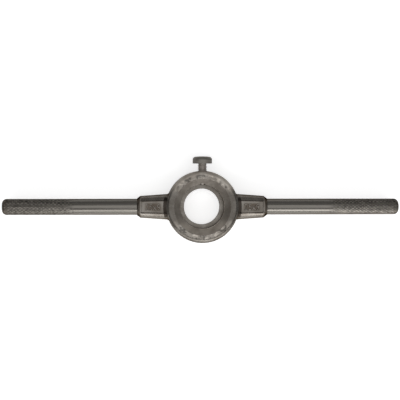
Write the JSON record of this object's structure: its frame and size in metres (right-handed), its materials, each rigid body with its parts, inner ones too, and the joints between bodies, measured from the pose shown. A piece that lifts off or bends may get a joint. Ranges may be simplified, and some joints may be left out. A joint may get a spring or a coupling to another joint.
{
  "type": "die stock",
  "caption": "Hand die stock: a ring with a stepped seat for a round threading die, tapered bosses, straight knurled handle bars and a slotted clamping screw.",
  "frame": {"origin": "centre of the die seat's floor, where a die's back face lies", "axes": "+X along the right handle, +Y from the ring's axis to the clamping screw, +Z out of the die seat"},
  "size_m": [0.224, 0.0487, 0.016],
  "materials": {
    "cast_body": "tumbled and darkened, satin",
    "handle_steel": "drawn bar, darkened, satin gloss, knurled at the outer ends",
    "screw_steel": "turned, blackened"
  },
  "bodies": {
    "stock": {"stock_body": "cast_body", "right_handle": "handle_steel", "left_handle": "handle_steel"},
    "screw": {"clamping_screw": "screw_steel"}
  },
  "joints": [
    {"name": "screw_travel", "type": "slide", "parent": "stock", "child": "screw", "axis": [0, -1, 0], "range_m": [-0.006, 0.004]}
  ]
}
